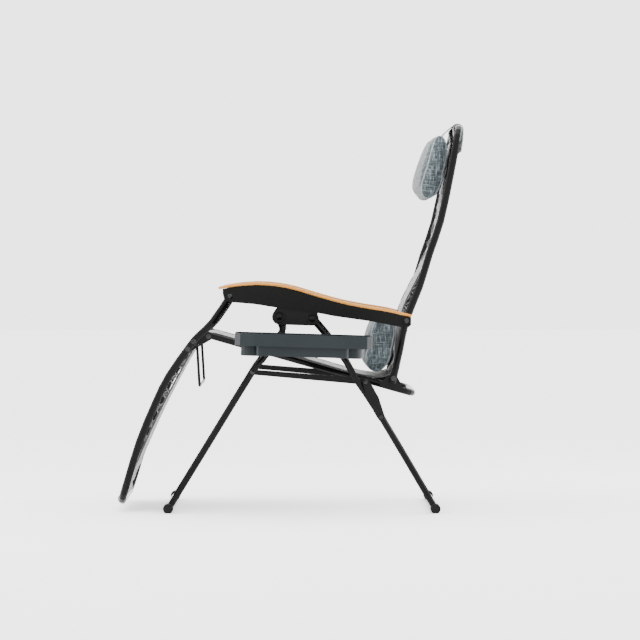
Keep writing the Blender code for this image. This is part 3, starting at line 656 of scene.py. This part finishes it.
def seam_band(name, route, index, width, body):
    """A sewn band across a sling, of the hem cloth, raised a little along its middle."""
    middle_point = route[index]
    along = (route[min(index + 1, len(route) - 1)] - route[max(index - 1, 0)]).normalized()
    normal = Vector((-along.z, 0, along.x))
    if normal.z < 0:
        normal = -normal
    shape = bmesh.new()
    layout = shape.loops.layers.uv.new("UVMap")
    columns, rows = 41, 5
    grid = []
    for r in range(rows):
        u = -1 + 2 * r / (rows - 1)
        lift = 0.0016 + 0.0009 * (1 - u * u)
        row = []
        for c in range(columns):
            t = -1 + 2 * c / (columns - 1)
            sag = CLOTH_SAG * (1 - t * t)
            point = middle_point + along * u * width / 2 + normal * (lift - sag)
            row.append(shape.verts.new(at(point, t * (SLING_HALF - 0.004))))
        grid.append(row)
    for row, after in zip(grid, grid[1:]):
        for a, b, c, d in zip(row, row[1:], after[1:], after):
            shape.faces.new((a, b, c, d))
    for face in shape.faces:
        for loop in face.loops:
            loop[layout].uv = (loop.vert.co.y, (loop.vert.co - at(middle_point, 0)).dot(along))
    band = from_bmesh(name, shape, HEM)
    solid = band.modifiers.new("thickness", "SOLIDIFY")
    solid.thickness = 0.0009
    applied(band)
    carry([band], body)


seam_band("seat_seam", rear_route, 0, 0.030, "seat")


# ---------------------------------------------------------------- lacing

LACE_R = 0.0018
EYELET_IN = 0.013


def eyelets(name, places, body):
    """Pressed rings in the sling's edge, given as (place, normal)."""
    middle_radius, half_width, height = 0.0062, 0.0022, 0.0013
    shape = bmesh.new()
    profile = []
    for i in range(9):
        angle = pi * i / 8
        profile.append((middle_radius - half_width * cos(angle), height * sin(angle)))
    for place, normal in places:
        for way in (1, -1):
            ring_on(shape, profile, place, normal * way)
    carry([from_bmesh(name, shape, EYELET)], body)


def ring_on(shape, profile, centre, axis, steps=16):
    """Adds an open ring turned about an axis."""
    turn = Vector((0, 0, 1)).rotation_difference(axis).to_matrix()
    rows = []
    for radius, height in profile:
        row = []
        for i in range(steps):
            angle = tau * i / steps
            point = Vector((radius * cos(angle), radius * sin(angle), height + CLOTH_THICK / 2))
            row.append(shape.verts.new(turn @ point + centre))
        rows.append(row)
    for low, high in zip(rows, rows[1:]):
        for i in range(steps):
            j = (i + 1) % steps
            shape.faces.new((low[i], low[j], high[j], high[i]))


def lacing(name, route, tube_node, tube_radius, axis, count, span, body):
    """Elastic cord that zigzags between the sling's eyelets and hooks on the tube's inner side."""
    picked = spaced(route[span[0] : span[1]], count)
    for side_name, side in SIDES:
        node = f"{tube_node}_{side_name}"
        holes, path, hooks = [], [], []
        for i, point in enumerate(picked):
            along = (picked[min(i + 1, count - 1)] - picked[max(i - 1, 0)]).normalized()
            normal = Vector((-along.z, 0, along.x)) * (1 if i % 2 else -1)
            hole = at(point, side * (SLING_HALF - EYELET_IN))
            holes.append((hole, normal))
            path += [hole + normal * LACE_R * 1.6, hole - normal * LACE_R * 1.6]
            if i + 1 < count:
                halfway = (point + picked[i + 1]) / 2
                inner = crossing(node, axis, halfway[axis])
                inner.y -= side * (tube_radius + LACE_R)
                path += [inner - along * 0.004, inner + along * 0.004]
                hooks.append((inner, side))
        carry([cords(f"{name}_cord_{side_name}", [path], LACE_R, CORD, sides=2)], body)
        eyelets(f"{name}_eyelets_{side_name}", holes, body)
        shape = bmesh.new()
        for place, way in hooks:
            turned(shape, dome(0.0042, 0.0058), place + Vector((0, way * LACE_R, 0)), (0, -way, 0), 12)
        carry([from_bmesh(f"{name}_hooks_{side_name}", shape, BOLT)], body)


lacing("back", back_route, "back_tube", SIDE_R, 2, 15, (6, -1), "back")
lacing("seat_rear", rear_route, "seat_rail", SEAT_R, 0, 6, (1, -5), "seat")
lacing("seat_front", front_route, "seat_rail", SEAT_R, 0, 6, (4, -1), "seat")
lacing("legrest", legrest_route, "legrest_tube", SIDE_R, 2, 10, (1, -4), "legrest")


# ---------------------------------------------------------------- sleeves round the cross tubes

SLEEVE_HALF = 0.205
SLEEVE_R = 0.0133


def sleeve(name, node, first, body, turn_from, turn_to):
    """The sling's end, sewn round a cross tube: a sheet that leaves the sling and goes round."""
    low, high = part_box(node)
    tube = Vector(((low.x + high.x) / 2, 0, (low.z + high.z) / 2))
    if node == "back_cross":
        tube = Vector((high.x - SIDE_R, 0, high.z - SIDE_R))
    if node == "legrest_cross":
        tube = Vector((low.x + SIDE_R, 0, low.z + SIDE_R))
    route = [Vector((first[0], 0, first[-1]))]
    for i in range(13):
        angle = radians(turn_from + (turn_to - turn_from) * i / 12)
        route.append(tube + Vector((SLEEVE_R * cos(angle), 0, SLEEVE_R * sin(angle))))
    piece, _ = cloth(name, route, 33, 0.0, SLEEVE_HALF)
    carry([piece], body)


sleeve("back_sleeve", "back_cross", BACK_LINE[-1], "back", 175, -75)
sleeve("legrest_sleeve", "legrest_cross", LEGREST_LINE[0], "legrest", 45, 290)


# ---------------------------------------------------------------- pillows


def bulged(obj, cap, pressure=4.0, frames=20):
    """Blows the closed cloth up with air, and lets no point move further than the cap."""
    before = [v.co.copy() for v in obj.data.vertices]
    cloth_modifier = obj.modifiers.new("Cloth", "CLOTH")
    settings = cloth_modifier.settings
    settings.quality = 5
    settings.mass = 0.3
    settings.tension_stiffness = 14
    settings.compression_stiffness = 14
    settings.shear_stiffness = 6
    settings.bending_stiffness = 0.6
    settings.use_pressure = True
    settings.uniform_pressure_force = pressure
    settings.effector_weights.gravity = 0
    cloth_modifier.collision_settings.use_collision = False
    scene = bpy.context.scene
    for frame_number in range(1, frames + 1):
        scene.frame_set(frame_number)
    applied(obj)
    scene.frame_set(1)
    for vertex, start in zip(obj.data.vertices, before):
        move = vertex.co - start
        if move.length > cap:
            vertex.co = start + move * cap / move.length
    return obj


# How far in from each end the seams lie, their reach and depth, and how deep the piping lies.
SEAM_IN = 0.016
SEAM_REACH = 0.012
SEAM_DEPTH = 0.0022
PIPING_SUNK = 0.0012


def sewn(obj, half, middle_y):
    """Cuts the surface along the two seams of the end panels and draws them in; returns their rings."""
    shape = bmesh.new()
    shape.from_mesh(obj.data)
    rings = []
    for _, side in SIDES:
        geom = shape.verts[:] + shape.edges[:] + shape.faces[:]
        place = Vector((0, middle_y + side * half, 0))
        cut = bmesh.ops.bisect_plane(shape, geom=geom, plane_co=place, plane_no=(0, 1, 0))
        edges = [item for item in cut["geom_cut"] if isinstance(item, bmesh.types.BMEdge)]
        loop = [edges[0].verts[0]]
        seen = {loop[0]}
        member = {v for edge in edges for v in edge.verts}
        while True:
            after = [
                e.other_vert(loop[-1])
                for e in loop[-1].link_edges
                if e in set(edges) and e.other_vert(loop[-1]) in member
            ]
            after = [v for v in after if v not in seen]
            if not after:
                break
            loop.append(after[0])
            seen.add(after[0])
        centre = sum((v.co for v in loop), Vector()) / len(loop)
        ring = [v.co.copy() for v in loop]
        for vertex in shape.verts:
            away = abs(vertex.co.y - place.y)
            if away < SEAM_REACH:
                inward = (centre - vertex.co) * Vector((1, 0, 1))
                depth = SEAM_DEPTH * (1 - away / SEAM_REACH) ** 2
                vertex.co += inward.normalized() * depth
        rings.append([point + (centre - point).normalized() * PIPING_SUNK for point in ring])
    shape.to_mesh(obj.data)
    shape.free()
    return rings


def side_axes(lean):
    """A leaning cushion's directions up and backwards."""
    tilt = radians(lean)
    return Vector((sin(tilt), 0, cos(tilt))), Vector((cos(tilt), 0, -sin(tilt)))


def stuffing(name, node, lean, tall, thick, taper, end_front):
    """A closed cushion: a teardrop section with a flat rear side, fullest in front of its middle."""
    centre = middle(node)
    low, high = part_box(node)
    half_wide = (high.y - low.y) / 2 - 0.004
    up, back = side_axes(lean)
    shape = bmesh.new()
    rows, across, around = [], 14, 32
    for r in range(across + 1):
        t = -1 + 2 * r / across
        front = end_front + (1 - end_front) * (1 - t * t)
        row = []
        for k in range(around):
            angle = tau * k / around
            c, s = cos(angle), sin(angle)
            fill = (abs(c) ** 2.5 + abs(s) ** 2.5) ** (-1 / 2.5)
            across_it = c * fill * (1 if c > 0 else front * (1 - taper * s * fill))
            along_it = s * fill * (1 - 0.04 * t * t)
            offset = back * across_it * thick + up * along_it * tall
            row.append(shape.verts.new(centre + offset + Vector((0, t * half_wide, 0))))
        rows.append(row)
    for row, after in zip(rows, rows[1:]):
        for k in range(around):
            j = (k + 1) % around
            shape.faces.new((row[k], after[k], after[j], row[j]))
    shape.faces.new(rows[0])
    shape.faces.new(rows[-1][::-1])
    bmesh.ops.recalc_face_normals(shape, faces=shape.faces)
    return from_bmesh(name, shape)


HEAD_LEAN = 11


def pillow(name, node, cap, *form):
    """A stuffed cushion with two end panels, piped where they meet the middle panel.

    The form is what stuffing takes: lean in degrees, half height, half thickness, taper, end_front.
    """
    obj = stuffing(name, node, *form)
    remesh = obj.modifiers.new("even mesh", "REMESH")
    remesh.mode = "VOXEL"
    remesh.voxel_size = 0.005
    applied(obj)
    smooth = obj.modifiers.new("smooth", "SMOOTH")
    smooth.factor = 0.5
    smooth.iterations = 4
    applied(obj)
    bulged(obj, cap)
    low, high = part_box(node)
    rings = sewn(obj, (high.y - low.y) / 2 - SEAM_IN, middle(node).y)
    smoother = obj.modifiers.new("fine", "SUBSURF")
    smoother.levels = 1
    smoother.render_levels = 1
    applied(obj)
    obj.data.materials.clear()
    obj.data.materials.append(PILLOW)
    obj.data.shade_smooth()
    pipes = cords(name + "_piping", [ring[::3] for ring in rings], 0.0022, PIPING, closed=True)
    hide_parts(node)
    return obj, pipes


head, head_piping = pillow(
    "head_cushion", "head_pillow", 0.006, HEAD_LEAN, 0.099, 0.033, 0.42, 0.50
)
carry([head, head_piping], "headrest")

lumbar, lumbar_piping = pillow(
    "lumbar_cushion", "lumbar_pillow", 0.006, 10, 0.089, 0.037, 0.20, 0.84
)
carry([lumbar, lumbar_piping], "back")


def flap():
    """The head cushion's tongue: it leaves the cushion's top and hangs over the top tube."""
    half, over_tube = 0.150, 0.0172
    up, back = side_axes(HEAD_LEAN)
    top = middle("head_pillow") + up * 0.088 + back * 0.012
    _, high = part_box("back_cross")
    tube = Vector((high.x - SIDE_R, 0, high.z - SIDE_R))
    route = [Vector((top.x, 0, top.z)), Vector((top.x, 0, top.z)) + up * 0.016 + back * 0.006]
    for i in range(9):
        angle = radians(140 - 150 * i / 8)
        route.append(tube + Vector((cos(angle), 0, sin(angle))) * over_tube)
    route += [tube + Vector((0.0155, 0, -0.030)), tube + Vector((0.0110, 0, -0.062))]
    piece, path = cloth("head_flap", route, 41, 0.0, half, PILLOW_CLOTH_LIT)
    ends = ("back", "headrest", on_middle(route[3]), on_middle(route[1]))
    carry([piece], blend=ends)
    edges = [[at(p, side * half) for p in path] for _, side in SIDES]
    edges.append([at(path[-1], half - 2 * half * i / 12) for i in range(13)])
    carry([cords("head_flap_binding", edges, 0.0016, PIPING)], blend=ends)


flap()


# ---------------------------------------------------------------- fittings


def heads(name, body, mat, profile, places):
    """Turned fittings that stand outwards on both sides of the chair, at (point, y) places."""
    shape = bmesh.new()
    for point, y in places:
        for _, side in SIDES:
            turned(shape, profile, at(point, side * y), (0, side, 0))
    carry([from_bmesh(name, shape, mat)], body)


HUB_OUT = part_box("hub_right")[1].y - CHAIR_Y
ARM_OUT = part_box("arm_channel_right")[1].y - CHAIR_Y

# Pivots that no joint stands on, in the side view.
FRONT_HUB = Vector((-0.030, 0, 0.560))
REAR_HUB = Vector((0.063, 0, 0.554))
LINK_FRONT = Vector((-0.108, 0, 0.402))
PLATE_LOW = Vector((0.259, 0, 0.275))
ARM_FRONT = Vector((-0.171, 0, 0.620))

BOSS = [(0.0158, -0.0004), (0.0158, 0.0012), (0.0150, 0.0022), (0.0128, 0.0022)]
BOSS += [(0.0120, 0.0010), (0.0086, 0.0010), (0.0080, 0.0030), (0.0066, 0.0046), (0.0036, 0.0056)]
BOSS += [(0.0001, 0.0059)]
RIVET = dome(0.0076, 0.0042)
WASHER = [(0.0122, -0.0004), (0.0122, 0.0010), (0.0116, 0.0014), (0.0086, 0.0014), (0.0084, 0.0006)]

heads("hub_bosses", "base", BRACKET, BOSS, [(FRONT_HUB, HUB_OUT), (REAR_HUB, HUB_OUT)])
heads("arm_rivets", "armrests", BOLT, RIVET, [(ARM_FRONT, ARM_OUT), (ARM_REAR, ARM_OUT)])

PLATE_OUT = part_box("fold_plate_right")[1].y - CHAIR_Y
LEG_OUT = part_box("link_bar_right")[1].y - CHAIR_Y
plate_heads = [(SEAT_PIVOT, PLATE_OUT), (PLATE_LOW, PLATE_OUT - 0.0020), (LINK_FRONT, LEG_OUT)]
heads("leg_rivets", "base", BOLT, dome(0.0066, 0.0036), plate_heads)
heads("arm_washers", "armrests", BRACKET, WASHER, [(ARM_FRONT, ARM_OUT)])


def ribbed_block():
    """Upright ribs on the outer wall at the armrest's rear end."""
    rib_half, rib_deep, count = 0.0013, 0.0024, 5
    shape = bmesh.new()
    low, high = ARM_REAR + Vector((-0.012, 0, -0.013)), ARM_REAR + Vector((0.012, 0, 0.008))
    for _, side in SIDES:
        outer = side * (ARM_OUT + rib_deep)
        inner = side * (ARM_OUT - 0.0005)
        for i in range(count):
            x = low.x + (high.x - low.x) * i / (count - 1)
            ridge = [
                (x - rib_half, inner, low.z),
                (x - rib_half + 0.0005, outer, low.z + 0.002),
                (x + rib_half - 0.0005, outer, low.z + 0.002),
                (x + rib_half, inner, low.z),
            ]
            upper = [(px, py, pz + high.z - low.z) for px, py, pz in ridge]
            upper[1] = (upper[1][0], upper[1][1], upper[1][2] - 0.004)
            upper[2] = (upper[2][0], upper[2][1], upper[2][2] - 0.004)
            base = [shape.verts.new((px, py + CHAIR_Y, pz)) for px, py, pz in ridge]
            top = [shape.verts.new((px, py + CHAIR_Y, pz)) for px, py, pz in upper]
            shape.faces.new(base)
            shape.faces.new(top[::-1])
            for k in range(4):
                j = (k + 1) % 4
                shape.faces.new((base[k], top[k], top[j], base[j]))
    bmesh.ops.recalc_face_normals(shape, faces=shape.faces)
    carry([from_bmesh("arm_ribs", shape, SKIRT)], "armrests")


ribbed_block()


def ring_lip(name, centre, radius, tube_radius, mat, body):
    """A rounded ring lying level."""
    points = []
    for i in range(32):
        angle = tau * i / 32
        points.append(centre + Vector((radius * cos(angle), radius * sin(angle), 0)))
    carry([cords(name, [points], tube_radius, mat, closed=True)], body)


for well in ("front", "rear"):
    low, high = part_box(f"cup_well_{well}")
    place = Vector(((low.x + high.x) / 2, (low.y + high.y) / 2, high.z + 0.0006))
    ring_lip(f"cup_lip_{well}", place, (high.y - low.y) / 2, 0.0017, TRAY, "tray")


# ---------------------------------------------------------------- floor, lights and camera


def floor():
    shape = bmesh.new()
    bmesh.ops.create_grid(shape, x_segments=2, y_segments=2, size=30)
    m = Nodes("pale_floor")
    speck = m.noise(m.coords(), 3, 4)
    m.set(
        Base_Color=m.ramp(speck, (0.3, 0.86), (0.7, 0.89)),
        Roughness=0.75,
        Specular_IOR_Level=0.2,
        Emission_Color=(1, 1, 1, 1),
        Emission_Strength=0.62,
    )
    plane = from_bmesh("floor", shape, m.material)


def area_light(name, place, target, size, power, colour=(1, 1, 1)):
    data = bpy.data.lights.new(name, "AREA")
    data.shape = "RECTANGLE"
    data.size, data.size_y = size
    data.energy = power
    data.color = colour
    lamp = bpy.data.objects.new(name, data)
    bpy.context.scene.collection.objects.link(lamp)
    aim(lamp, Vector(place), Vector(target))


def aim(obj, place, target):
    obj.location = place
    obj.rotation_euler = (target - place).to_track_quat("-Z", "Y").to_euler()


def sky(strength):
    world = bpy.data.worlds.new("studio")
    world.use_nodes = True
    background = world.node_tree.nodes["Background"]
    background.inputs["Color"].default_value = (1, 1, 1, 1)
    background.inputs["Strength"].default_value = strength
    bpy.context.scene.world = world


floor()
sky(3.3)
CENTRE = (0, 0, 0.5)
area_light("overhead", (0.2, 0.3, 3.4), CENTRE, (3.0, 3.0), 50)
area_light("front_key", (-3.2, -1.6, 2.2), CENTRE, (1.6, 1.8), 70)
area_light("camera_side", (1.6, -4.2, 2.4), CENTRE, (2.4, 1.4), 10)
area_light("rear_rim", (3.0, 1.6, 1.6), CENTRE, (1.0, 1.8), 50)

camera_data = bpy.data.cameras.new("camera")
camera_data.sensor_width = 36
camera_data.lens = 223
camera = bpy.data.objects.new("camera", camera_data)
bpy.context.scene.collection.objects.link(camera)
aim(camera, Vector((0.0366, -11.4955, 0.72)), Vector((0.085, -0.1955, 0.551)))
bpy.context.scene.camera = camera
